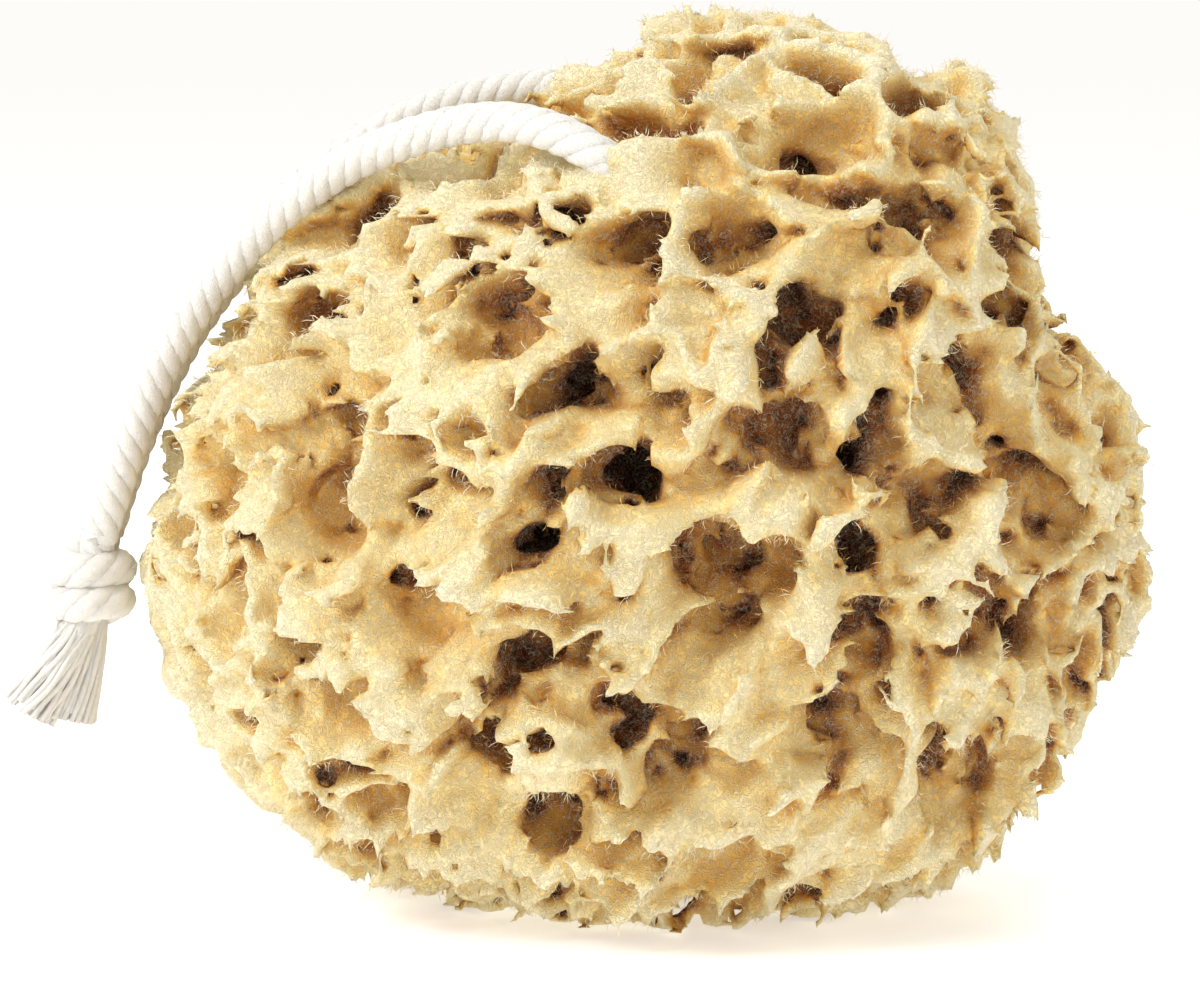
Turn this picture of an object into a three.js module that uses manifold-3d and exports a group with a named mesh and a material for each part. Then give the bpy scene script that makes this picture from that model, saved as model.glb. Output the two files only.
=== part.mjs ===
// A honeycomb sea sponge threaded on a loop of white twisted cotton cord.
// Millimetres, +Z up, -Y to the front. The origin is under the middle of the sponge, on its flat foot.
import * as THREE from 'three';
import { mergeVertices } from 'three/addons/utils/BufferGeometryUtils.js';
import Module from 'manifold-3d';

const wasm = await Module();
wasm.setup();

// Driving dimensions
const bodyCentreHeight = 62;
const bodyHalfDepth = 57;
const bodyDetail = 14;
const lumpHeight = 2.2;
const cellCount = 230;
const cellDepth = 6.5;
const cellDepthSpread = 0.9;
const crestRise = 1;
const footFade = 0.82;
const poreSides = 6;
const poreTaper = 0.55;
const poreFlare = 1.15;
const poreLead = 8;
const poreWander = 14;
const sidePoreCount = 26;
const sidePoreRadius = [2, 4.6];
const sidePoreDepth = [9, 17];
const sidePoreLean = 0.5;
const cordDiameter = 5.5;
const cordSides = 8;
const cordStep = 11.5;
const tailSteps = 6;
const channelClearance = 0.35;

// The sponge's outline seen from the front, as x and height, counterclockwise from the right
const bodyOutline = [
  [69, 62], [68.5, 71], [62, 77], [56.5, 84], [54, 94], [51.5, 106], [45, 116.5], [35, 120.5],
  [22, 123], [8, 124], [-3, 119.5], [-14, 114.5], [-28, 111], [-40, 104], [-51, 93.5], [-60, 81.5],
  [-67, 69], [-67.5, 55], [-66.5, 41], [-63, 27], [-54, 15], [-42, 7], [-28, 0], [-12, -4],
  [8, -6], [28, -4], [45, 4], [58, 17], [65.5, 34], [68.5, 50],
];

// Deep pores of the front, as x, height, radius and depth
const frontPores = [
  [12, 98, 3.9, 9], [31, 70, 2.6, 20], [-1, 67, 3.4, 20], [-16, 58, 2.2, 18], [-9.5, 80, 3, 16],
  [8, 56, 5, 14], [17, 53, 2.4, 16], [13, 46, 2.8, 14], [31.5, 56, 4.2, 14], [39, 61, 4.6, 9],
  [31.5, 45, 4, 12], [55, 43, 5.2, 14], [53, 67, 4.6, 10], [24.5, 90, 4.2, 12], [19, 74, 4.8, 12],
  [36.5, 104, 2.4, 12], [24, 111, 2, 12], [-20, 88, 2.6, 12], [-45, 73, 3.6, 10], [-61, 64, 4, 9],
  [-45, 57.5, 2, 10], [-34, 49, 4.2, 10], [-17, 39, 3.4, 14], [-23, 27, 3.2, 14], [-13, 17, 5.2, 14],
  [-3, 31, 3.6, 14], [6, 26, 5, 10], [28, 30, 3.6, 12], [44, 22, 4, 12],
];

// The cord's two runs, from the middle of the hidden channel to the knot
const frontRoute = [
  [12, -14, 102.5], [12.1, -15.5, 102.2], [10.8, -21.5, 101.4], [7.2, -28, 101.5], [1.8, -33, 102.9],
  [-4.2, -35, 105.8], [-10.5, -33, 109.3], [-16.8, -29, 111], [-23.3, -25.2, 110.8], [-30, -21.8, 109.2],
  [-37, -17.8, 106.5], [-44, -14, 102.5], [-51, -10.8, 96.8], [-57.8, -8, 89.8], [-63.7, -6, 81.8],
  [-68.3, -4.4, 73.3], [-71.9, -3.4, 64.6], [-74.1, -2.9, 58], [-75.9, -2.9, 52.6],
];
const backRoute = [
  [11.9, -13.6, 102.6], [11.7, -12.2, 103], [9.2, -6.3, 105.7], [4, -1.5, 109.1], [-3, 2.6, 112.4],
  [-9.5, 5, 114.2], [-15.5, 5.6, 114.5], [-21.5, 5, 113.6], [-28, 3.6, 112], [-36, 1.4, 108.6],
  [-43, 0, 104], [-50, -0.2, 97.6], [-56.8, 0.6, 90], [-62.8, 1.6, 82], [-67.5, 2.4, 73.6],
  [-71.2, 2.9, 65.4], [-73.8, 3, 58.2], [-75.6, 3, 52.6],
];

// The knot's middle, its two wraps and its two tails
const knotMiddle = [-77.4, 0, 44.6];
const wrapRadius = 3.5;
const wrapThickness = 2.7;
const wrapSpread = 2.5;
const wrapTilt = 0.42;
const knotLean = 0.22;
const tailRoutes = [
  [
    [-76, -2.9, 52.2], [-76.4, -2.9, 50.9], [-77, -2.4, 45],
    [-79.8, -2.2, 38], [-82.8, -2.4, 33.2], [-86.2, -2.6, 28.6],
  ],
  [
    [-75.7, 3, 52.2], [-76.1, 3, 50.9], [-76.8, 2.4, 45],
    [-78, 2, 38], [-79.3, 1.6, 32], [-80.8, 1.2, 26.2],
  ],
];

// Repeatable scatter: a number from 0 to 1 for each whole number
const scatter = (index, salt) => {
  const wave = Math.sin(index * 127.1 + salt * 311.7 + 17.3) * 43758.5453;
  return wave - Math.floor(wave);
};
const between = ([low, high], share) => low + (high - low) * share;

// Evenly spread directions on a golden spiral, each shaken a little
function spreadDirections(count, shake, salt) {
  const goldenAngle = Math.PI * (3 - Math.sqrt(5));
  const directions = [];
  for (let index = 0; index < count; index++) {
    const height = 1 - (2 * (index + 0.5)) / count;
    const ring = Math.sqrt(1 - height * height);
    const turn = index * goldenAngle;
    const direction = new THREE.Vector3(ring * Math.cos(turn), ring * Math.sin(turn), height);
    direction.x += shake * (scatter(index, salt) - 0.5);
    direction.y += shake * (scatter(index, salt + 1) - 0.5);
    direction.z += shake * (scatter(index, salt + 2) - 0.5);
    directions.push(direction.normalize());
  }
  return directions;
}

const outlinePolar = bodyOutline
  .map(([x, height]) => ({
    angle: Math.atan2(height - bodyCentreHeight, x),
    radius: Math.hypot(x, height - bodyCentreHeight),
  }))
  .sort((a, b) => a.angle - b.angle);

// Smooth radius of the outline at an angle about the body's centre
function outlineRadius(angle) {
  const count = outlinePolar.length;
  const point = (index) => {
    const lap = Math.floor(index / count);
    const { angle: start, radius } = outlinePolar[index - lap * count];
    return { angle: start + lap * 2 * Math.PI, radius };
  };
  let next = 0;
  while (next < count && outlinePolar[next].angle <= angle) next++;
  const [before, from, to, after] = [next - 2, next - 1, next, next + 1].map(point);
  const span = to.angle - from.angle;
  const t = (angle - from.angle) / span;
  const slopeFrom = ((to.radius - before.radius) / (to.angle - before.angle)) * span;
  const slopeTo = ((after.radius - from.radius) / (after.angle - from.angle)) * span;
  const blend = t * t * (3 - 2 * t);
  return (1 - blend) * from.radius + blend * to.radius
    + t * (1 - t) * ((1 - t) * slopeFrom - t * slopeTo);
}

// The smooth body under the relief, about its centre
function bodyPoint(direction) {
  const reach = Math.hypot(direction.x, direction.z);
  const angle = Math.atan2(direction.z, direction.x);
  const radius = outlineRadius(angle) * reach;
  return new THREE.Vector3(radius * Math.cos(angle), bodyHalfDepth * direction.y, radius * Math.sin(angle));
}

// Broad lumps, from a few crossing waves
function lumps(point) {
  const wave = (x, y, z, phase) => Math.sin(point.x * x + point.y * y + point.z * z + phase);
  return lumpHeight * (wave(0.09, 0.03, 0.06, 0.4) * wave(-0.04, 0.1, 0.05, 1.9)
    + 0.7 * wave(0.05, -0.12, 0.11, 3.1) * wave(0.13, 0.06, -0.07, 0.8));
}

const cells = spreadDirections(cellCount, 0.13, 5)
  .map((direction, index) => ({ direction, depth: 1 + cellDepthSpread * (scatter(index, 11) - 0.5) }));

// Honeycomb relief: a ridge where two cells meet and a pit in each cell's middle
function honeycomb(direction) {
  let nearest = { distance: Infinity, depth: 1 };
  let second = { distance: Infinity, depth: 1 };
  for (const cell of cells) {
    const distance = direction.distanceTo(cell.direction);
    if (distance < nearest.distance) {
      second = nearest;
      nearest = { distance, depth: cell.depth };
    } else if (distance < second.distance) {
      second = { distance, depth: cell.depth };
    }
  }
  const fromRidge = 1 - (2 * nearest.distance) / (nearest.distance + second.distance);
  return -cellDepth * nearest.depth * fromRidge * fromRidge * (3 - 2 * fromRidge);
}

// A closed geometry as a solid that can be joined and cut
function toSolid(geometry) {
  const bare = geometry.index ? geometry.clone() : geometry;
  bare.deleteAttribute('normal');
  bare.deleteAttribute('uv');
  const merged = mergeVertices(bare, 1e-3);
  return new wasm.Manifold(new wasm.Mesh({
    numProp: 3,
    vertProperties: new Float32Array(merged.attributes.position.array),
    triVerts: new Uint32Array(merged.index.array),
  }));
}

function toGeometry(solid) {
  const { vertProperties, triVerts } = solid.getMesh();
  const geometry = new THREE.BufferGeometry();
  geometry.setAttribute('position', new THREE.BufferAttribute(new Float32Array(vertProperties), 3));
  geometry.setIndex(new THREE.BufferAttribute(new Uint32Array(triVerts), 1));
  geometry.computeVertexNormals();
  return geometry;
}

// A round tube along a smooth route
function tube(route, radius) {
  const section = new THREE.Shape();
  for (let side = 0; side < cordSides; side++) {
    const turn = (2 * Math.PI * side) / cordSides;
    section[side ? 'lineTo' : 'moveTo'](radius * Math.cos(turn), radius * Math.sin(turn));
  }
  section.closePath();
  const points = route.map((point) => new THREE.Vector3(...point));
  const path = new THREE.CatmullRomCurve3(points, false, 'centripetal');
  const steps = Math.max(tailSteps, Math.round(path.getLength() / cordStep));
  return new THREE.ExtrudeGeometry(section, { steps, bevelEnabled: false, extrudePath: path });
}

const cordTube = (route, clearance) => tube(route, cordDiameter / 2 + clearance);

// A pore: a tapered bore from just outside the body towards a point deep inside
function pore(surface, inward, radius, depth) {
  const length = depth + poreLead;
  const bore = new THREE.CylinderGeometry(radius * poreFlare, radius * poreTaper, length, poreSides, 1);
  bore.translate(0, poreLead - length / 2, 0);
  const turn = new THREE.Quaternion().setFromUnitVectors(new THREE.Vector3(0, -1, 0), inward);
  bore.applyQuaternion(turn);
  bore.translate(surface.x, surface.y, surface.z);
  return toSolid(bore);
}

// A pore of the front, read as a place in the front view
function frontPore([x, height, radius, depth], index) {
  const rise = height - bodyCentreHeight;
  const share = Math.hypot(x, rise) / outlineRadius(Math.atan2(rise, x));
  const surface = new THREE.Vector3(x, -bodyHalfDepth * Math.sqrt(1 - Math.min(share, 0.97) ** 2), height);
  const aim = new THREE.Vector3(
    x / 3 + poreWander * (scatter(index, 21) - 0.5),
    0,
    bodyCentreHeight + rise / 3 + poreWander * (scatter(index, 22) - 0.5),
  );
  return pore(surface, aim.sub(surface).normalize(), radius, depth);
}

// Pores of the sides, back and top, spread by a formula clear of the front and the foot
function spreadPores() {
  return spreadDirections(sidePoreCount * 2, 0.3, 31)
    .filter((direction) => direction.y > -0.25 && direction.z > -0.7)
    .slice(0, sidePoreCount)
    .map((direction, index) => {
      const surface = bodyPoint(direction);
      surface.z += bodyCentreHeight;
      const inward = direction.clone().negate();
      inward.x += sidePoreLean * (scatter(index, 34) - 0.5);
      inward.z += sidePoreLean * (scatter(index, 35) - 0.5);
      const radius = between(sidePoreRadius, scatter(index, 33));
      const depth = between(sidePoreDepth, scatter(index, 36));
      return pore(surface, inward.normalize(), radius, depth);
    });
}

// The sponge: one grown body with ridges, pits and pores, cut flat at its foot
function spongeGeometry() {
  const ball = new THREE.IcosahedronGeometry(1, bodyDetail);
  ball.deleteAttribute('normal');
  ball.deleteAttribute('uv');
  const body = mergeVertices(ball, 1e-4);
  const positions = body.attributes.position;
  const direction = new THREE.Vector3();
  for (let index = 0; index < positions.count; index++) {
    direction.fromBufferAttribute(positions, index).normalize();
    const point = bodyPoint(direction);
    const foot = THREE.MathUtils.smoothstep(-direction.z, footFade, footFade + 0.1);
    const relief = (lumps(point) + honeycomb(direction) + crestRise) * (1 - foot);
    point.setLength(point.length() + relief);
    positions.setXYZ(index, point.x, point.y, point.z);
  }
  body.computeBoundingBox();
  const middle = body.boundingBox.getCenter(new THREE.Vector3());
  body.translate(-middle.x, -middle.y, bodyCentreHeight);

  let solid = toSolid(body);
  const rock = new THREE.BoxGeometry(3 * bodyHalfDepth, 3 * bodyHalfDepth, bodyHalfDepth);
  rock.translate(0, 0, -bodyHalfDepth / 2);
  const channels = [frontRoute, backRoute].map((route) => cordTube(route, channelClearance));
  const cuts = [rock, ...channels].map(toSolid).concat(frontPores.map(frontPore), spreadPores());
  for (const cut of cuts) solid = solid.subtract(cut);
  const parts = solid.decompose().sort((a, b) => b.volume() - a.volume());
  return toGeometry(parts[0]);
}

// The knot: two wraps round both runs, and the two tails that leave it below
function knotGeometry() {
  let solid = null;
  const join = (geometry) => {
    const piece = toSolid(geometry);
    solid = solid ? solid.add(piece) : piece;
  };
  for (const route of tailRoutes) join(cordTube(route, 0));
  for (const side of [1, -1]) {
    const wrap = new THREE.TorusGeometry(wrapRadius, wrapThickness, 8, 14);
    wrap.rotateX(side * wrapTilt);
    wrap.translate(0, 0, side * wrapSpread);
    wrap.rotateY(knotLean);
    wrap.translate(...knotMiddle);
    join(wrap);
  }
  return toGeometry(solid);
}

function named(name, geometry, color, roughness) {
  const material = new THREE.MeshStandardMaterial({ color, roughness, metalness: 0 });
  const mesh = new THREE.Mesh(geometry, material);
  mesh.name = name;
  return mesh;
}

const spongeColour = 0xe6ce96;
const cordColour = 0xf8f6f0;
const group = new THREE.Group();
group.add(named('sponge', spongeGeometry(), spongeColour, 0.95));
group.add(named('rope_front', cordTube(frontRoute, 0), cordColour, 0.85));
group.add(named('rope_back', cordTube(backRoute, 0), cordColour, 0.85));
group.add(named('rope_knot', knotGeometry(), cordColour, 0.85));

export default group;
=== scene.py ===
import math
import random

import bmesh
import bpy
from mathutils import Matrix, Vector
from mathutils.bvhtree import BVHTree


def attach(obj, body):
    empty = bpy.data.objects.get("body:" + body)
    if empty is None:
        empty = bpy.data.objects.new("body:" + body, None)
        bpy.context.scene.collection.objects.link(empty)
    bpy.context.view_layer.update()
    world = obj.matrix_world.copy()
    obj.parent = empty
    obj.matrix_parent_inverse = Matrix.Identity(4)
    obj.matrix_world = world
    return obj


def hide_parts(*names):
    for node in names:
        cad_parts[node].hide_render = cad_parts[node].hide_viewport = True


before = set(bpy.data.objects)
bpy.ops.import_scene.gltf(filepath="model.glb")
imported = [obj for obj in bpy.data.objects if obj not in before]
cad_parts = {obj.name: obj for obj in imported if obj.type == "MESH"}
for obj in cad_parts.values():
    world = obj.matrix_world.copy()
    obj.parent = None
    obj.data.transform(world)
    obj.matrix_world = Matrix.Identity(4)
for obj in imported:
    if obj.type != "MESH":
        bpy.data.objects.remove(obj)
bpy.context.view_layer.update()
scene = bpy.context.scene
mm = 0.001


# Node trees: a wire is a socket that takes part in sums, and a tree adds every other node

class Wire:
    def __init__(self, tree, socket):
        self.tree = tree
        self.socket = socket

    def maths(self, operation, *values, clamp=False):
        sockets = dict(enumerate(values))
        return self.tree.add("ShaderNodeMath", {"operation": operation, "use_clamp": clamp}, sockets)

    def __add__(self, other):
        return self.maths("ADD", self, other)

    def __sub__(self, other):
        return self.maths("SUBTRACT", self, other)

    def __mul__(self, other):
        return self.maths("MULTIPLY", self, other)

    def __truediv__(self, other):
        return self.maths("DIVIDE", self, other)

    def __pow__(self, other):
        return self.maths("POWER", self, other)

    def __rsub__(self, other):
        return self.maths("SUBTRACT", other, self)

    def __rtruediv__(self, other):
        return self.maths("DIVIDE", other, self)

    __radd__ = __add__
    __rmul__ = __mul__

    def __neg__(self):
        return self * -1

    def atLeast(self, other):
        return self.maths("MAXIMUM", self, other)

    def atMost(self, other):
        return self.maths("MINIMUM", self, other)

    # 0 below low, 1 above high, with a soft start and end
    def ramp(self, low, high, toLow=0.0, toHigh=1.0):
        settings = {"interpolation_type": "SMOOTHSTEP"}
        values = {"Value": self, "From Min": low, "From Max": high, "To Min": toLow, "To Max": toHigh}
        return self.tree.add("ShaderNodeMapRange", settings, values)

    def vector(self, operation, other=None, scale=None, out="Vector"):
        values = {0: self}
        if other is not None:
            values[1] = other
        if scale is not None:
            values["Scale"] = scale
        return self.tree.add("ShaderNodeVectorMath", {"operation": operation}, values, out)

    def shift(self, other):
        return self.vector("ADD", other)

    def scaled(self, factor):
        return self.vector("SCALE", scale=factor)


class Tree:
    def __init__(self, nodeTree):
        self.nodeTree = nodeTree

    def add(self, kind, settings=None, sockets=None, out=0):
        node = self.nodeTree.nodes.new(kind)
        for name, value in (settings or {}).items():
            setattr(node, name, value)
        for name, value in (sockets or {}).items():
            socket = self.pick(node.inputs, name)
            if isinstance(value, Wire):
                self.nodeTree.links.new(value.socket, socket)
            else:
                socket.default_value = value
        self.last = node
        return self.other(out)

    # A node keeps a socket of each name for every kind of value, and enables one of them
    def pick(self, sockets, name):
        if isinstance(name, int):
            return sockets[name]
        return next(s for s in sockets if s.name == name and s.enabled)

    def other(self, out):
        return Wire(self, self.pick(self.last.outputs, out))

    def noise(self, place, size, detail=2.0, roughness=0.5, out="Fac", distortion=0.0):
        values = {"Vector": place, "Scale": 1 / size, "Detail": detail, "Roughness": roughness,
                  "Distortion": distortion}
        return self.add("ShaderNodeTexNoise", {}, values, out)

    def cells(self, place, size, feature="DISTANCE_TO_EDGE", out="Distance", randomness=1.0):
        values = {"Vector": place, "Scale": 1 / size, "Randomness": randomness}
        return self.add("ShaderNodeTexVoronoi", {"feature": feature}, values, out)

    def fixed(self, vector):
        return self.add("ShaderNodeCombineXYZ", {}, dict(enumerate(vector)))

    def mix(self, share, low, high, blend="MIX"):
        settings = {"data_type": "RGBA", "blend_type": blend}
        return self.add("ShaderNodeMix", settings, {"Factor": share, "A": low, "B": high}, "Result")


def newForm(name):
    nodeTree = bpy.data.node_groups.new(name, "GeometryNodeTree")
    nodeTree.interface.new_socket("Geometry", in_out="INPUT", socket_type="NodeSocketGeometry")
    nodeTree.interface.new_socket("Geometry", in_out="OUTPUT", socket_type="NodeSocketGeometry")
    tree = Tree(nodeTree)
    return tree, tree.add("NodeGroupInput")


def shapedBy(obj, tree, result):
    end = tree.nodeTree.nodes.new("NodeGroupOutput")
    tree.nodeTree.links.new(result.socket, end.inputs[0])
    modifier = obj.modifiers.new("form", "NODES")
    modifier.node_group = tree.nodeTree
    settle(obj)
    bpy.data.node_groups.remove(tree.nodeTree)


# Modifiers made part of the mesh
def settle(obj):
    graph = bpy.context.evaluated_depsgraph_get()
    mesh = bpy.data.meshes.new_from_object(obj.evaluated_get(graph), preserve_all_data_layers=True, depsgraph=graph)
    obj.modifiers.clear()
    old = obj.data
    obj.data = mesh
    bpy.data.meshes.remove(old)


def newPiece(name, bm):
    mesh = bpy.data.meshes.new(name)
    bm.to_mesh(mesh)
    bm.free()
    obj = bpy.data.objects.new(name, mesh)
    scene.collection.objects.link(obj)
    return obj


def newMaterial(name):
    material = bpy.data.materials.new(name)
    material.use_nodes = True
    material.node_tree.nodes.clear()
    return material, Tree(material.node_tree)


def finishMaterial(tree, shader):
    end = tree.nodeTree.nodes.new("ShaderNodeOutputMaterial")
    tree.nodeTree.links.new(shader.socket, end.inputs["Surface"])


# Camera at the photograph's angle

view = {"target": (-6, 0, 58.4), "elevation": 7, "distance": 600, "widthSeen": 168}


def placeCamera():
    camera = bpy.data.cameras.new("camera")
    obj = bpy.data.objects.new("camera", camera)
    scene.collection.objects.link(obj)
    rise = math.radians(view["elevation"])
    back = Vector((0, -math.cos(rise), math.sin(rise)))
    obj.location = (Vector(view["target"]) + back * view["distance"]) * mm
    obj.rotation_euler = (-back).to_track_quat("-Z", "Y").to_euler()
    camera.sensor_width = 36
    camera.lens = 36 * view["distance"] / view["widthSeen"]
    camera.clip_start = 0.01
    scene.camera = obj


placeCamera()
print("camera placed")


# Cord: the two runs from the hidden middle of the channel to the knot, in millimetres

cord = {
    "diameter": 5.5,
    "strands": 4,
    "strandRadius": 1.75,
    "strandReach": 1.0,
    "pitch": 11.5,
    "step": 0.55,
    "front": [
        (12, -14, 102.5), (12.1, -15.5, 102.2), (10.8, -21.5, 101.4), (7.2, -28, 101.5), (1.8, -33, 102.9),
        (-4.2, -35, 105.8), (-10.5, -33, 109.3), (-16.8, -29, 111), (-23.3, -25.2, 110.8), (-30, -21.8, 109.2),
        (-37, -17.8, 106.5), (-44, -14, 102.5), (-51, -10.8, 96.8), (-57.8, -8, 89.8), (-63.7, -6, 81.8),
        (-68.3, -4.4, 73.3), (-71.9, -3.4, 64.6), (-74.1, -2.9, 58), (-75.9, -2.9, 52.6),
    ],
    "back": [
        (11.9, -13.6, 102.6), (11.7, -12.2, 103), (9.2, -6.3, 105.7), (4, -1.5, 109.1), (-3, 2.6, 112.4),
        (-9.5, 5, 114.2), (-15.5, 5.6, 114.5), (-21.5, 5, 113.6), (-28, 3.6, 112), (-36, 1.4, 108.6),
        (-43, 0, 104), (-50, -0.2, 97.6), (-56.8, 0.6, 90), (-62.8, 1.6, 82), (-67.5, 2.4, 73.6),
        (-71.2, 2.9, 65.4), (-73.8, 3, 58.2), (-75.6, 3, 52.6),
    ],
}


# Points every step along a smooth curve through the route, and the curve's length
def smoothRoute(route, step):
    points = [Vector(point) for point in route]
    ends = [2 * points[0] - points[1], *points, 2 * points[-1] - points[-2]]
    dense = []
    for a, b, c, d in zip(ends, ends[1:], ends[2:], ends[3:]):
        ta = 0
        tb = ta + (b - a).length ** 0.5
        tc = tb + (c - b).length ** 0.5
        td = tc + (d - c).length ** 0.5
        for part in range(16):
            t = tb + (tc - tb) * part / 16
            ab = a.lerp(b, (t - ta) / (tb - ta))
            bc = b.lerp(c, (t - tb) / (tc - tb))
            cd = c.lerp(d, (t - tc) / (td - tc))
            low = ab.lerp(bc, (t - ta) / (tc - ta))
            high = bc.lerp(cd, (t - tb) / (td - tb))
            dense.append(low.lerp(high, (t - tb) / (tc - tb)))
    dense.append(points[-1])
    lengths = [0]
    for a, b in zip(dense, dense[1:]):
        lengths.append(lengths[-1] + (b - a).length)
    count = max(2, round(lengths[-1] / step))
    even = []
    index = 0
    for part in range(count + 1):
        goal = lengths[-1] * part / count
        while index < len(dense) - 2 and lengths[index + 1] < goal:
            index += 1
        share = (goal - lengths[index]) / (lengths[index + 1] - lengths[index])
        even.append(dense[index].lerp(dense[index + 1], min(1, share)))
    return even, lengths[-1]


# Two directions across the path at each point, carried along without twisting
def carriedFrames(path):
    frames = []
    across = Vector((0, 0, 1))
    for index in range(len(path)):
        along = (path[min(index + 1, len(path) - 1)] - path[max(index - 1, 0)]).normalized()
        across = (across - along * across.dot(along)).normalized()
        frames.append((along, across, along.cross(across)))
    return frames


def meshOf(name, curve):
    maker = bpy.data.objects.new(name, curve)
    scene.collection.objects.link(maker)
    mesh = bpy.data.meshes.new_from_object(maker.evaluated_get(bpy.context.evaluated_depsgraph_get()))
    bpy.data.objects.remove(maker)
    obj = bpy.data.objects.new(name, mesh)
    scene.collection.objects.link(obj)
    return obj


# A twisted cord: each strand is a tube that winds round the path and swells by a share of the way along
def twistedCord(name, route, swell=None):
    path, length = smoothRoute(route, cord["step"])
    frames = carriedFrames(path)
    curve = bpy.data.curves.new(name, "CURVE")
    curve.dimensions = "3D"
    curve.bevel_depth = cord["strandRadius"] * mm
    curve.bevel_resolution = 3
    curve.use_fill_caps = True
    for strand in range(cord["strands"]):
        spline = curve.splines.new("POLY")
        spline.points.add(len(path) - 1)
        for index, (point, (along, across, third)) in enumerate(zip(path, frames)):
            walked = length * index / (len(path) - 1)
            turn = math.tau * (strand / cord["strands"] - walked / cord["pitch"])
            size = swell(index / (len(path) - 1)) if swell else 1
            reach = cord["strandReach"] * size
            place = point + reach * (math.cos(turn) * across + math.sin(turn) * third)
            spline.points[index].co = (*(place * mm), 1)
            spline.points[index].radius = size
    return meshOf(name, curve), path, length


ropeFront, frontPath, frontLength = twistedCord("cordFront", cord["front"])
ropeBack, backPath, backLength = twistedCord("cordBack", cord["back"])
print("cord runs", round(frontLength, 1), round(backLength, 1), "mm")


# Knot: both ends wrapped round each other, with the tails opened out below

knot = {
    "middle": (-77.4, 0, 45.0),
    "turns": 2.4,
    "radius": 3.5,
    "rise": 10.6,
    "tilt": 0.3,
    "squeeze": 1.0,
    "tails": {
        "tailFront": [(-76, -2.4, 52.6), (-76.5, -1.6, 49), (-77.2, -1.5, 44), (-79, -2, 39.6), (-82, -2.6, 34.2),
                      (-86, -2.8, 27.8)],
        "tailBack": [(-75.7, 2.4, 52.6), (-76.3, 1.6, 49), (-77, 1.3, 44), (-77.9, 1, 39.6), (-79.2, 0.6, 33.2),
                     (-80.8, 0.4, 26.4)],
    },
    "yarns": 90,
    "yarnRadius": 0.42,
    "yarnStep": 1.1,
    "bundle": (1.9, 3.7),
    "opensAt": 0.42,
}


def wrapRoute():
    middle = Vector(knot["middle"])
    steps = round(knot["turns"] * 14)
    route = []
    for index in range(steps + 1):
        part = index / steps
        angle = math.pi * 0.35 + math.tau * knot["turns"] * part
        reach = knot["radius"] * (0.82 + 0.3 * math.sin(math.pi * part))
        across = reach * math.cos(angle)
        route.append(middle + Vector((across, reach * math.sin(angle), knot["rise"] * (0.5 - part) + knot["tilt"] * across)))
    return route


# Fine yarns side by side along a tail, close at the knot and opened out at the cut end
def yarnTail(name, route, chance):
    path, length = smoothRoute(route, knot["yarnStep"])
    frames = carriedFrames(path)
    curve = bpy.data.curves.new(name, "CURVE")
    curve.dimensions = "3D"
    curve.bevel_depth = knot["yarnRadius"] * mm
    curve.bevel_resolution = 1
    curve.use_fill_caps = True
    start = round(knot["opensAt"] * len(path))
    narrow, wide = knot["bundle"]
    for yarn in range(knot["yarns"]):
        reach = math.sqrt((yarn + 0.5) / knot["yarns"])
        angle = yarn * 2.39996
        last = len(path) - chance.choice((0, 0, 0, 1))
        sway = chance.uniform(0, math.tau)
        spline = curve.splines.new("POLY")
        spline.points.add(last - start - 1)
        for index in range(start, last):
            along, across, third = frames[index]
            part = (index - start) / (len(path) - 1 - start)
            spread = reach * (narrow + (wide - narrow) * part ** 0.8)
            turn = angle + 0.8 * part
            wave = 0.16 * math.sin(sway + 9 * part)
            place = path[index] + across * (spread * math.cos(turn) + wave) + third * (spread * math.sin(turn) - wave)
            spline.points[index - start].co = (*(place * mm), 1)
    return meshOf(name, curve)


def joined(name, parts):
    bm = bmesh.new()
    for part in parts:
        bm.from_mesh(part.data)
        bpy.data.objects.remove(part)
    return newPiece(name, bm)


def knotMesh():
    chance = random.Random(8)
    parts = [twistedCord("wrap", wrapRoute(), lambda part: knot["squeeze"])[0]]
    for name, route in knot["tails"].items():
        parts.append(twistedCord(name, route[:5], lambda part: 0.9)[0])
        parts.append(yarnTail(name, route, chance))
    return joined("cordKnot", parts)


knotPiece = knotMesh()
print("knot tied")


# Sponge: a grown body carved by cells, pits and deep pores

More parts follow.
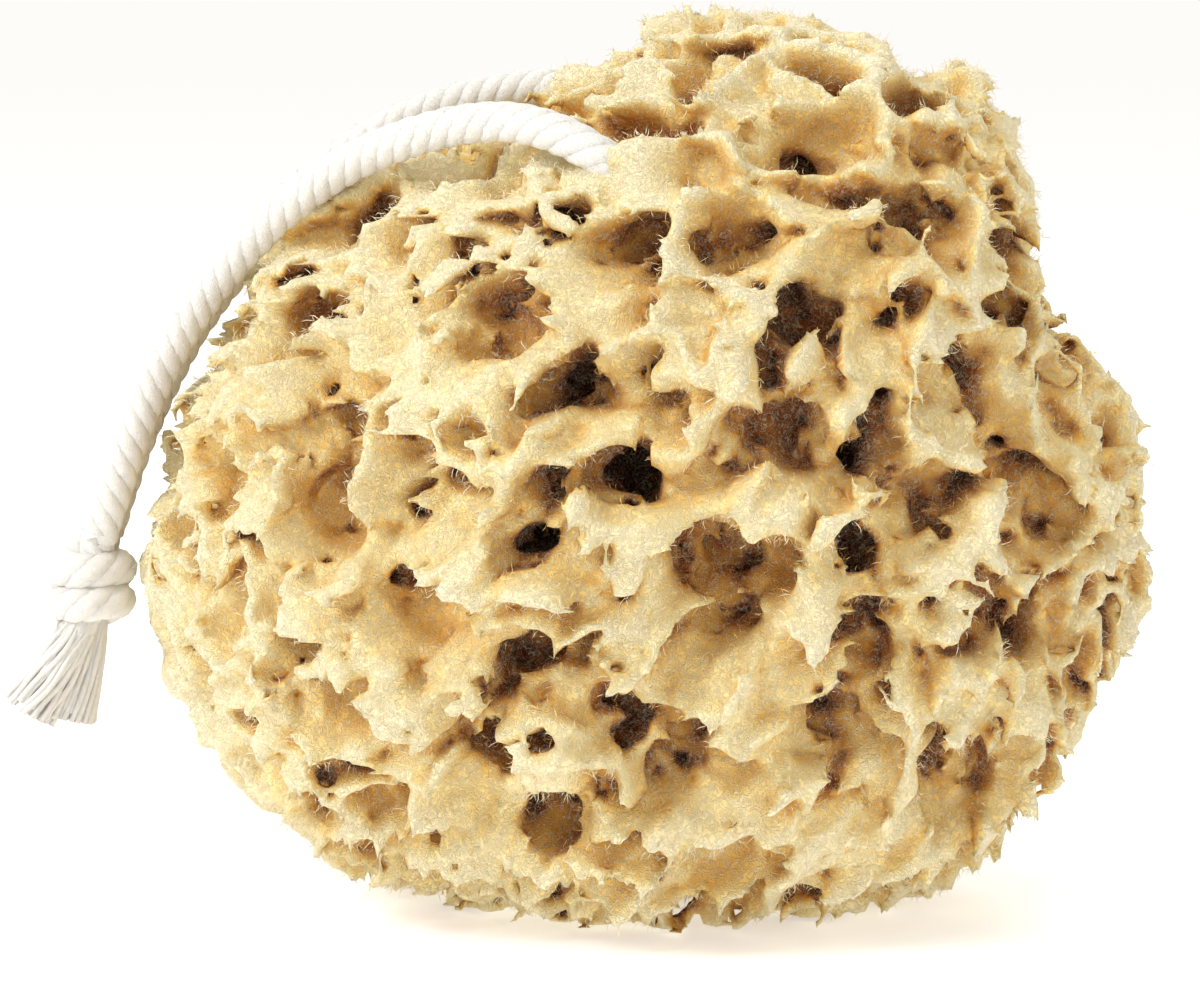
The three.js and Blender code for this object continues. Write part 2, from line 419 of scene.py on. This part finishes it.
sponge = {
    "centreHeight": 62,
    "hullRings": 2,
    "hullSmoothing": 2,
    "voxel": 0.95,
    "quickVoxel": 1.25,
    "faces": 192000,
    "quickFaces": 150000,
    "softening": 7,
    "rays": 14,
    "rayReach": 16,
    # size and depth of the cells, width of their walls, lean for each millimetre of height, how far it lies under
    "layers": [
        (12.0, (7, 14), 3.5, (0.7, 0.0, 0.85), -1.6),
        (8.5, (4, 10), 2.8, (1.1, 0.15, 0.55), 4.3),
    ],
    "hollowSize": 6.2,
    "hollowDepth": (1.5, 5.5),
    "hollowWidth": 2.4,
    "drift": 6.0,
    "ruffle": 3.0,
    "crest": 2.2,
    "prong": (0.4, 2.3),
    "puffSize": 4.6,
    "puff": 3.0,
    "tuft": 1.2,
    # x, height and radius of the notches of the outline, and the ends of what swells between them
    "notches": {"crown": (14.5, 130.5, 6), "top": (38, 120.5, 5), "shoulder": (58.5, 107, 7),
                "waist": (61.5, 92, 7), "hip": (68, 82.5, 7.5)},
    "swells": [((24, -12, 122), (31, 12, 122), (46, 0, 115)), ((-63, 0, 38), (-46, 0, 14)),
               ((71, 0, 62), (71, 0, 50))],
    "swell": 4.0,
    "bores": {"small": 2.2, "large": 3.4},
    "boreRagged": 9.0,
    "grain": (0.8, 0.0, 0.6),
    "stretch": 0.38,
    "upright": -1.0,
    "blunt": 4.0,
    "mouth": 5.5,
    "coverRadius": 4.1,
    # x, height, radius and depth of the deep pores of the front
    "pores": [
        (12, 98, 3.9, 9), (31, 70, 2.6, 20), (-1, 67, 3.4, 20), (-16, 58, 2.2, 18), (-9.5, 80, 3, 16),
        (8, 56, 5, 14), (17, 53, 2.4, 16), (13, 46, 2.8, 14), (31.5, 56, 4.2, 14), (39, 61, 4.6, 9),
        (31.5, 45, 4, 12), (55, 43, 5.2, 14), (53, 67, 4.6, 10), (24.5, 90, 4.2, 12), (19, 74, 4.8, 12),
        (36.5, 104, 2.4, 12), (24, 111, 2, 12), (-20, 88, 2.6, 12), (-45, 73, 3.6, 10), (-61, 64, 4, 9),
        (-45, 57.5, 2, 10), (-34, 49, 4.2, 10), (-17, 39, 3.4, 14), (-23, 27, 3.2, 14), (-13, 17, 5.2, 14),
        (-3, 31, 3.6, 14), (6, 26, 5, 10), (28, 30, 3.6, 12), (44, 22, 4, 12),
    ],
}
boreGroups = {"small": (0, 3.3), "large": (3.3, 9)}


# The smooth body over the ridges, cast from outside onto the solid
def spongeHull(solid):
    tree = BVHTree.FromPolygons([v.co for v in solid.data.vertices], [p.vertices for p in solid.data.polygons])
    bm = bmesh.new()
    bmesh.ops.create_icosphere(bm, subdivisions=6, radius=1)
    middle = Vector((0, 0, sponge["centreHeight"] * mm))
    reach = {}
    for vert in bm.verts:
        direction = vert.co.normalized()
        hit = tree.ray_cast(middle + direction * 0.2, -direction)[0]
        reach[vert] = (hit - middle).length
    for ring in range(sponge["hullRings"]):
        reach = {v: max(reach[v], *(reach[e.other_vert(v)] for e in v.link_edges)) for v in bm.verts}
    for ring in range(sponge["hullSmoothing"]):
        reach = {v: (reach[v] + sum(reach[e.other_vert(v)] for e in v.link_edges)) / (1 + len(v.link_edges))
                 for v in bm.verts}
    for vert in bm.verts:
        vert.co = middle + vert.co.normalized() * reach[vert]
    return newPiece("hull", bm)


# Axes of the deep pores, as loose edges from the body's skin inwards
def poreAxes(hull, group):
    low, high = boreGroups[group]
    tree = BVHTree.FromObject(hull, bpy.context.evaluated_depsgraph_get())
    bm = bmesh.new()
    for x, height, radius, depth in sponge["pores"]:
        if not low <= radius < high:
            continue
        start = tree.ray_cast(Vector((x, -100, height)) * mm, Vector((0, 1, 0)))[0]
        inward = (Vector((x / 3, 0, sponge["centreHeight"] + (height - sponge["centreHeight"]) / 3)) * mm
                  - start).normalized()
        ends = [bm.verts.new(start - inward * 6 * mm), bm.verts.new(start + inward * depth * mm)]
        bm.edges.new(ends)
    return newPiece("poreAxes", bm)


# Hollows between walls, in millimetres of depth that differ from one cell to the next
def hollows(tree, place, size, depth, wall):
    edge = tree.cells(place, size) * size
    share = tree.add("ShaderNodeSeparateXYZ", {}, {0: tree.cells(place, size, "F1", "Color")})
    low, high = depth
    return (edge / wall).atMost(1) * (share * (high - low) + low)


# A chain of loose edges through points in millimetres
def chain(name, *runs):
    bm = bmesh.new()
    for run in runs:
        verts = [bm.verts.new(Vector(point) * mm) for point in run]
        for pair in zip(verts, verts[1:]):
            bm.edges.new(pair)
    return newPiece(name, bm)


# Millimetres from a place to the nearest of a chain's edges
def away(tree, chained, place):
    edges = tree.add("GeometryNodeObjectInfo", {}, {"Object": chained}, "Geometry")
    values = {"Geometry": edges, "Sample Position": place}
    return tree.add("GeometryNodeProximity", {"target_element": "EDGES"}, values, "Distance") * 1000


# The sponge's field in millimetres: below 0 inside
def spongeField(tree, hull, axes):
    metres = tree.add("GeometryNodeInputPosition")
    place = metres.scaled(1000)
    skin = tree.add("GeometryNodeObjectInfo", {}, {"Object": hull}, "Geometry")
    distance = tree.add("GeometryNodeProximity", {"target_element": "FACES"}, {0: skin}, "Distance")
    nearest = tree.other("Position")
    normal = tree.add("GeometryNodeInputNormal")
    outward = tree.add("GeometryNodeSampleNearestSurface", {"data_type": "FLOAT_VECTOR"},
                       {"Mesh": skin, "Value": normal})
    side = metres.vector("SUBTRACT", nearest).vector("DOT_PRODUCT", outward, out="Value")
    height = distance * 1000 * side.maths("SIGN", side)

    onSkin = nearest.scaled(1000)
    drift = tree.noise(place, 17, 1.0, out="Color").shift((-0.5, -0.5, -0.5)).scaled(2 * sponge["drift"])
    ruffle = tree.noise(place, 6, 2.0, out="Color").shift((-0.5, -0.5, -0.5)).scaled(2 * sponge["ruffle"])
    facing = tree.add("ShaderNodeSeparateXYZ", {}, {0: outward}, 1)
    tearing = facing.maths("ABSOLUTE", facing).ramp(0.3, 0.75, *sponge["prong"])
    layers = []
    for size, depth, width, lean, sink in sponge["layers"]:
        leaning = onSkin.shift(tree.fixed(lean).scaled(height.atMost(sponge["upright"])))
        bent = leaning.shift(drift).shift(ruffle)
        along = bent.vector("DOT_PRODUCT", sponge["grain"], out="Value")
        bent = bent.shift(tree.fixed(sponge["grain"]).scaled(along * -sponge["stretch"]))
        prongs = (tree.noise(leaning, 3.0, 2.0, 0.6) - 0.5) * 2 * tearing
        layers.append(height + hollows(tree, bent, size, depth, width) + prongs + sink)
    walls = layers[0].maths("SMOOTH_MIN", *layers, 1.5)

    small = hollows(tree, bent, sponge["hollowSize"], sponge["hollowDepth"], sponge["hollowWidth"])
    crest = (tree.noise(place, 11, 1.0) - 0.5) * 2 * sponge["crest"]
    frontness = facing.maths("ABSOLUTE", facing).ramp(0.3, 0.75, 0.45, 1)
    tufts = (tree.noise(place, 2.4, 3.0, 0.65) - 0.5) * 2 * sponge["tuft"] * frontness
    swollen = leaning.shift(ruffle.scaled(0.5)).shift(place.scaled(0.35))
    puffs = tree.cells(swollen, sponge["puffSize"], "SMOOTH_F1").ramp(0.15, 0.6) * sponge["puff"]
    swell = away(tree, axes["swell"], metres).ramp(6, 24, sponge["swell"], 0)
    field = walls + small + crest + tufts + puffs + height.ramp(-1, 2.5, 0, sponge["blunt"]) - swell

    wander = metres.shift(ruffle.shift(drift.scaled(0.3)).scaled(0.8 * mm))
    ragged = (tree.noise(place, 3.0, 1.0) - 0.5) * sponge["boreRagged"]
    for group, radius in sponge["bores"].items():
        far = away(tree, axes[group], wander)
        field = field + far.ramp(radius, radius + 5, sponge["mouth"], 0)
        field = field.atLeast(height.ramp(-5, 0, 1, 0.1) * radius + ragged - far)
    for name, (x, level, radius) in sponge["notches"].items():
        field = field.atLeast(radius - away(tree, axes[name], wander))
    over = away(tree, axes["cover"], metres) - sponge["coverRadius"] + prongs * 0.5 + tufts
    field = field.maths("SMOOTH_MIN", field, over, 3.0)
    ground = tree.add("ShaderNodeSeparateXYZ", {}, {0: place}, 2)
    field = field.atLeast(0.2 - ground)
    return field, height


def spongeMesh():
    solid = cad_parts["sponge"]
    hull = spongeHull(solid)
    axes = {group: poreAxes(hull, group) for group in boreGroups}
    for name, (x, level, radius) in sponge["notches"].items():
        axes[name] = chain(name, [(x, -30, level), (x, 30, level)])
    axes["swell"] = chain("swell", *sponge["swells"])
    axes["cover"] = chain("cover", cord["front"][2:5] + [(-1, -34.6, 104.4)], cord["back"][1:6])
    tree, _ = newForm("spongeForm")
    field, _ = spongeField(tree, hull, axes)
    low, high = (-76, -65, -1), (76, 65, 134)
    voxel = sponge["voxel"]
    counts = [round((b - a) / voxel) for a, b in zip(low, high)]
    sockets = {"Density": -field, "Background": -5.0,
               "Min": [v * mm for v in low], "Max": [v * mm for v in high],
               "Resolution X": counts[0], "Resolution Y": counts[1], "Resolution Z": counts[2]}
    volume = tree.add("GeometryNodeVolumeCube", {}, sockets)
    skin = tree.add("GeometryNodeVolumeToMesh", {"resolution_mode": "GRID"}, {"Volume": volume, "Threshold": 0.0})
    island = tree.add("GeometryNodeInputMeshIsland")
    size = tree.add("GeometryNodeAccumulateField", {"data_type": "INT", "domain": "POINT"},
                    {"Value": 1, "Group ID": island}, "Total")
    loose = tree.add("FunctionNodeCompare", {"data_type": "INT", "operation": "LESS_THAN"},
                     {"A": size, "B": 3000})
    whole = tree.add("GeometryNodeDeleteGeometry", {"domain": "POINT"}, {"Geometry": skin, "Selection": loose})
    bm = bmesh.new()
    bmesh.ops.create_cube(bm, size=mm)
    obj = newPiece("spongeBody", bm)
    shapedBy(obj, tree, whole)
    print("sponge carved,", len(obj.data.vertices), "points")
    soften(obj)
    thin(obj, sponge["faces"])
    feelOut(obj, hull)
    for helper in (hull, *axes.values()):
        bpy.data.objects.remove(helper)
    return obj


# Thorns rounded off into soft tips
def soften(obj):
    modifier = obj.modifiers.new("soften", "SMOOTH")
    modifier.factor = 0.5
    modifier.iterations = sponge["softening"]
    settle(obj)


# Fewer triangles where the form is plain
def thin(obj, wanted):
    have = sum(len(face.vertices) - 2 for face in obj.data.polygons)
    if have > wanted:
        modifier = obj.modifiers.new("thin", "DECIMATE")
        modifier.ratio = wanted / have
        settle(obj)


# What the painted shade needs at each point: its depth under the skin and how open it lies to rays cast from it
def feelOut(obj, hull):
    tree, before = newForm("feelOut")
    metres = tree.add("GeometryNodeInputPosition")
    skin = tree.add("GeometryNodeObjectInfo", {}, {"Object": hull}, "Geometry")
    distance = tree.add("GeometryNodeProximity", {"target_element": "FACES"}, {"Geometry": skin}, "Distance")
    away = metres.vector("SUBTRACT", tree.other("Position"))
    outward = tree.add("GeometryNodeSampleNearestSurface", {"data_type": "FLOAT_VECTOR"},
                       {"Mesh": skin, "Value": tree.add("GeometryNodeInputNormal")})
    side = away.vector("DOT_PRODUCT", outward, out="Value")
    height = distance * 1000 * side.maths("SIGN", side)
    normal = tree.add("GeometryNodeInputNormal")
    source = metres.shift(normal.scaled(0.4 * mm))
    chance = random.Random(5)
    total = 0
    for ray in range(sponge["rays"]):
        stray = Vector((chance.gauss(0, 1), chance.gauss(0, 1), chance.gauss(0, 1))).normalized()
        direction = normal.shift(tuple(0.92 * stray))
        values = {"Target Geometry": before, "Source Position": source, "Ray Direction": direction,
                  "Ray Length": sponge["rayReach"] * mm}
        tree.add("GeometryNodeRaycast", {}, values, "Is Hit")
        hit = tree.other("Is Hit")
        far = tree.other("Hit Distance") * (1000 / sponge["rayReach"])
        total = (1 - hit * (1 - far * 0.7)) + total
    kept = before
    for name, value in (("height", height), ("open", total * (1 / sponge["rays"]))):
        kept = tree.add("GeometryNodeStoreNamedAttribute", {"data_type": "FLOAT", "domain": "POINT"},
                        {"Geometry": kept, "Name": name, "Value": value})
    shapedBy(obj, tree, kept)
    print("openness felt out")


# Curly threads as bright lines where a swirled noise crosses its middle
def threads(tree, place, size, width):
    swirl = tree.noise(place, size, 2.0, 0.6, distortion=1.2) - 0.5
    return 1 - swirl.maths("ABSOLUTE", swirl).ramp(0, width)


# The sponge's colour: painted shade in its hollows, random mottling, and lighter felt threads
def spongeMaterial(name, lift, felted):
    material, tree = newMaterial(name)
    place = tree.add("ShaderNodeTexCoord", {}, {}, "Object").scaled(1000)
    opened = tree.add("ShaderNodeAttribute", {"attribute_name": "open"}, {}, "Fac")
    height = tree.add("ShaderNodeAttribute", {"attribute_name": "height"}, {}, "Fac")
    blotch = tree.noise(place, 12, 3.0)
    grain = tree.noise(place, 3.2, 4.0, 0.65)
    # Painted shade: the colour runs darker the less open a point lies and the deeper it sits under the skin, with
    # random blotches and grain on top
    shadeAndMottle = opened + (height * 0.016).atLeast(-0.16) + (blotch - 0.5) * 0.2 + (grain - 0.5) * 0.12 + lift
    ramp = tree.add("ShaderNodeValToRGB", {}, {"Fac": shadeAndMottle}, "Color")
    setStops(tree.last.color_ramp, paintedShadeAndThreads["paintedShadeTones"])
    values = {"Base Color": ramp, "Roughness": 0.95, "Specular IOR Level": 0.08,
              "Subsurface Weight": 0.12, "Subsurface Scale": 0.004, "Subsurface Radius": (1.0, 0.6, 0.25)}
    if felted:
        felt = threads(tree, place, 1.5, 0.045) + threads(tree, place, 0.85, 0.06) * 0.7
        values["Base Color"] = tree.mix(felt * 0.45, ramp, paintedShadeAndThreads["pale"])
        height = felt * 0.6 + grain
        values["Normal"] = tree.add("ShaderNodeBump", {}, {"Strength": 0.7, "Distance": 0.0006, "Height": height})
    finishMaterial(tree, tree.add("ShaderNodeBsdfPrincipled", {}, values))
    return material


def setStops(ramp, stops):
    while len(ramp.elements) < len(stops):
        ramp.elements.new(1)
    for element, (place, colour) in zip(ramp.elements, stops):
        element.position = place
        element.color = (*colour, 1)


# Colours: pale is the lighter threads' own colour; the tones are painted shade, from dark maroon where a point is
# shut in to cream where it lies open
paintedShadeAndThreads = {
    "pale": (0.96, 0.87, 0.64, 1),
    "paintedShadeTones": [
        (0.0, (0.1, 0.024, 0.006)), (0.14, (0.32, 0.095, 0.018)), (0.32, (0.68, 0.34, 0.055)),
        (0.52, (0.86, 0.58, 0.18)), (0.72, (0.92, 0.74, 0.35)), (0.93, (0.94, 0.84, 0.59)),
    ],
}


def dress(obj, material, node):
    obj.data.materials.clear()
    obj.data.materials.append(material)
    for face in obj.data.polygons:
        face.use_smooth = True
    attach(obj, "root")
    if node:
        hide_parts(node)


body = spongeMesh()
dress(body, spongeMaterial("spongeFelt", -0.1, True), "sponge")


# Fuzz: loose fibres that felt the hollows and stand off the ridges and torn tips

fuzz = {
    "kinds": 7,
    "reach": 0.34,
    # name, rings, length, thickness, fibres on a square millimetre, openness, upright, droop, swirl size, lift, seed
    "coats": [
        ("fuzzFelt", 1, 1.4, 0.1, 0.45, (0.3, 0.6), 0.35, 0.0, 1.6, 0.06, 3),
        ("fuzzCrest", 1, 1.1, 0.1, 0.6, (0.6, 0.8), 0.5, 0.25, 2.0, 0.12, 11),
        ("fuzzCurl", 2, 1.9, 0.08, 0.165, (0.1, 0.4), 0.3, 0.0, 1.6, 0.06, 19),
        ("fuzzTip", 2, 1.7, 0.11, 0.4, (0.7, 0.9), 0.6, 0.6, 3.0, 0.14, 27),
    ],
}


# One fibre along Z, a unit long, that swells from a point and tapers to one as it bends
def fibreShape(rings, thickness, chance):
    bm = bmesh.new()
    bmesh.ops.create_cone(bm, segments=3, radius1=1, radius2=1, depth=1)
    uprights = [edge for edge in bm.edges if abs(edge.verts[0].co.z - edge.verts[1].co.z) > 0.5]
    bmesh.ops.subdivide_edges(bm, edges=uprights, cuts=rings)
    sway = chance.uniform(0.5, 1) * fuzz["reach"]
    turn = chance.uniform(0, math.tau)
    curl = chance.uniform(1.5, 3.5)
    for vert in bm.verts:
        part = vert.co.z + 0.5
        width = thickness / 2 * math.sin(math.pi * part)
        swing = Vector((math.cos(turn + curl * part), math.sin(turn + curl * part), 0)) * sway * part
        vert.co = Vector((vert.co.x * width, vert.co.y * width, part)) + swing
    bmesh.ops.remove_doubles(bm, verts=bm.verts, dist=1e-5)
    bmesh.ops.recalc_face_normals(bm, faces=bm.faces)
    return newPiece("fibre", bm)


# A coat of fibres on the body where its openness is in range, combed by a swirl and let droop
def fuzzCoat(body, name, rings, length, thickness, density, opening, upright, droop, swirl, seed):
    chance = random.Random(seed)
    kinds = [fibreShape(rings, thickness / length, chance) for kind in range(fuzz["kinds"])]
    tree, _ = newForm(name)
    skin = tree.add("GeometryNodeObjectInfo", {}, {"Object": body}, "Geometry")
    opened = tree.add("GeometryNodeInputNamedAttribute", {"data_type": "FLOAT"}, {"Name": "open"}, "Attribute")
    place = tree.add("GeometryNodeInputPosition").scaled(1000)
    patchy = tree.noise(place, 7, 2.0).ramp(0.35, 0.6, 0.45, 1.0)
    level = tree.add("ShaderNodeSeparateXYZ", {}, {0: place}, 2)
    thick = patchy * (density * 1e6) * level.ramp(2.0, 3.0)
    if opening:
        thick = thick * opened.ramp(*opening)
    points = tree.add("GeometryNodeDistributePointsOnFaces", {}, {"Mesh": skin, "Density": thick, "Seed": seed},
                      "Points")
    normal = tree.other("Normal")
    comb = tree.noise(place, swirl, 1.0, out="Color").shift((-0.5, -0.5, -0.5)).scaled(4)
    stray = tree.add("FunctionNodeRandomValue", {"data_type": "FLOAT_VECTOR"},
                     {"Min": (-0.6, -0.6, -0.6), "Max": (0.6, 0.6, 0.6), "Seed": seed}, "Value")
    hang = tree.fixed((-0.7 * droop, -0.2 * droop, -0.8 * droop))
    heading = normal.scaled(upright).shift(comb).shift(stray).shift(hang)
    rotation = tree.add("FunctionNodeAlignRotationToVector", {"axis": "Z"}, {"Vector": heading})
    scale = tree.add("FunctionNodeRandomValue", {"data_type": "FLOAT"},
                     {"Min": 0.5 * length * mm, "Max": 1.3 * length * mm, "Seed": seed + 1}, "Value")
    pool = tree.add("GeometryNodeGeometryToInstance")
    joiner = tree.last
    for kind in kinds:
        shape = tree.add("GeometryNodeObjectInfo", {}, {"Object": kind}, "Geometry")
        tree.nodeTree.links.new(shape.socket, joiner.inputs[0])
    values = {"Points": points, "Instance": pool, "Pick Instance": True, "Rotation": rotation, "Scale": scale}
    spread = tree.add("GeometryNodeInstanceOnPoints", {}, values)
    whole = tree.add("GeometryNodeRealizeInstances", {}, {"Geometry": spread})
    bm = bmesh.new()
    bmesh.ops.create_cube(bm, size=mm)
    obj = newPiece(name, bm)
    shapedBy(obj, tree, whole)
    for kind in kinds:
        bpy.data.objects.remove(kind)
    print(name, sum(len(face.vertices) - 2 for face in obj.data.polygons), "triangles")
    return obj


# Each coat wears the sponge's painted shade, read from the openness and depth of the body under it, shifted paler by
# its lift
for name, rings, length, thickness, density, opening, upright, droop, swirl, lift, seed in fuzz["coats"]:
    coat = fuzzCoat(body, name, rings, length, thickness, density, opening, upright, droop, swirl, seed)
    dress(coat, spongeMaterial(name, lift, False), None)


def cottonMaterial():
    material, tree = newMaterial("cottonCord")
    place = tree.add("ShaderNodeTexCoord", {}, {}, "Object").scaled(1000)
    soft = threads(tree, place, 0.8, 0.08) * 0.6 + tree.noise(place, 0.5, 4.0, 0.7)
    cloud = tree.noise(place, 5, 2.0)
    colour = tree.mix(cloud.ramp(0.3, 0.7), (0.79, 0.765, 0.72, 1), (0.83, 0.81, 0.775, 1))
    bump = tree.add("ShaderNodeBump", {}, {"Strength": 0.5, "Distance": 0.0003, "Height": soft})
    values = {"Base Color": colour, "Roughness": 0.9, "Specular IOR Level": 0.1,
              "Subsurface Weight": 0.2, "Subsurface Scale": 0.001, "Subsurface Radius": (1.0, 0.85, 0.7),
              "Normal": bump}
    finishMaterial(tree, tree.add("ShaderNodeBsdfPrincipled", {}, values))
    return material


cotton = cottonMaterial()
dress(knotPiece, cotton, "rope_knot")
for obj, node, path, length in ((ropeFront, "rope_front", frontPath, frontLength),
                                (ropeBack, "rope_back", backPath, backLength)):
    dress(obj, cotton, node)
    tuple(path[0] * mm)
    length * mm
    [tuple(point * mm) for point in path]


# Lint: short cotton fibres off the cord

for obj in (ropeFront, ropeBack, knotPiece):
    lint = fuzzCoat(obj, obj.name + "Lint", 1, 0.9, 0.06, 0.5, None, 0.35, 0.0, 1.0, 41)
    dress(lint, cotton, None)


# Floor, lights and the look of the picture

stage = {
    "floor": (0.92, 0.92, 0.92, 1),
    "floorGlow": 0.46,
    "world": (1.0, 0.97, 0.91, 1),
    "worldStrength": 0.57,
    # place, aim, size in metres and power in watts
    "lights": {
        "key": ((-0.9, -0.5, 0.8), (0, 0, 0.06), 0.4, 9.2),
        "fill": ((0.9, -0.9, 0.4), (0, 0, 0.06), 0.8, 1.0),
        "rim": ((0.2, 0.9, 0.8), (0, 0, 0.06), 0.6, 3),
        "above": ((0.1, -0.3, 1.2), (0, 0, 0.1), 0.8, 4.8),
    },
}


def setStage():
    bm = bmesh.new()
    bmesh.ops.create_grid(bm, x_segments=1, y_segments=1, size=60)
    floor = newPiece("floor", bm)
    material, tree = newMaterial("paleFloor")
    values = {"Base Color": stage["floor"], "Roughness": 0.9, "Emission Color": (1, 1, 1, 1),
              "Emission Strength": stage["floorGlow"]}
    finishMaterial(tree, tree.add("ShaderNodeBsdfPrincipled", {}, values))
    floor.data.materials.append(material)
    world = bpy.data.worlds.new("studio")
    world.use_nodes = True
    world.node_tree.nodes["Background"].inputs["Color"].default_value = stage["world"]
    world.node_tree.nodes["Background"].inputs["Strength"].default_value = stage["worldStrength"]
    scene.world = world
    for name, (place, aim, size, power) in stage["lights"].items():
        lamp = bpy.data.lights.new(name, "AREA")
        lamp.shape = "DISK"
        lamp.size = size
        lamp.energy = power
        obj = bpy.data.objects.new(name, lamp)
        obj.location = place
        obj.rotation_euler = (Vector(aim) - Vector(place)).to_track_quat("-Z", "Y").to_euler()
        scene.collection.objects.link(obj)
    scene.view_settings.view_transform = "Standard"


setStage()
print("stage set")
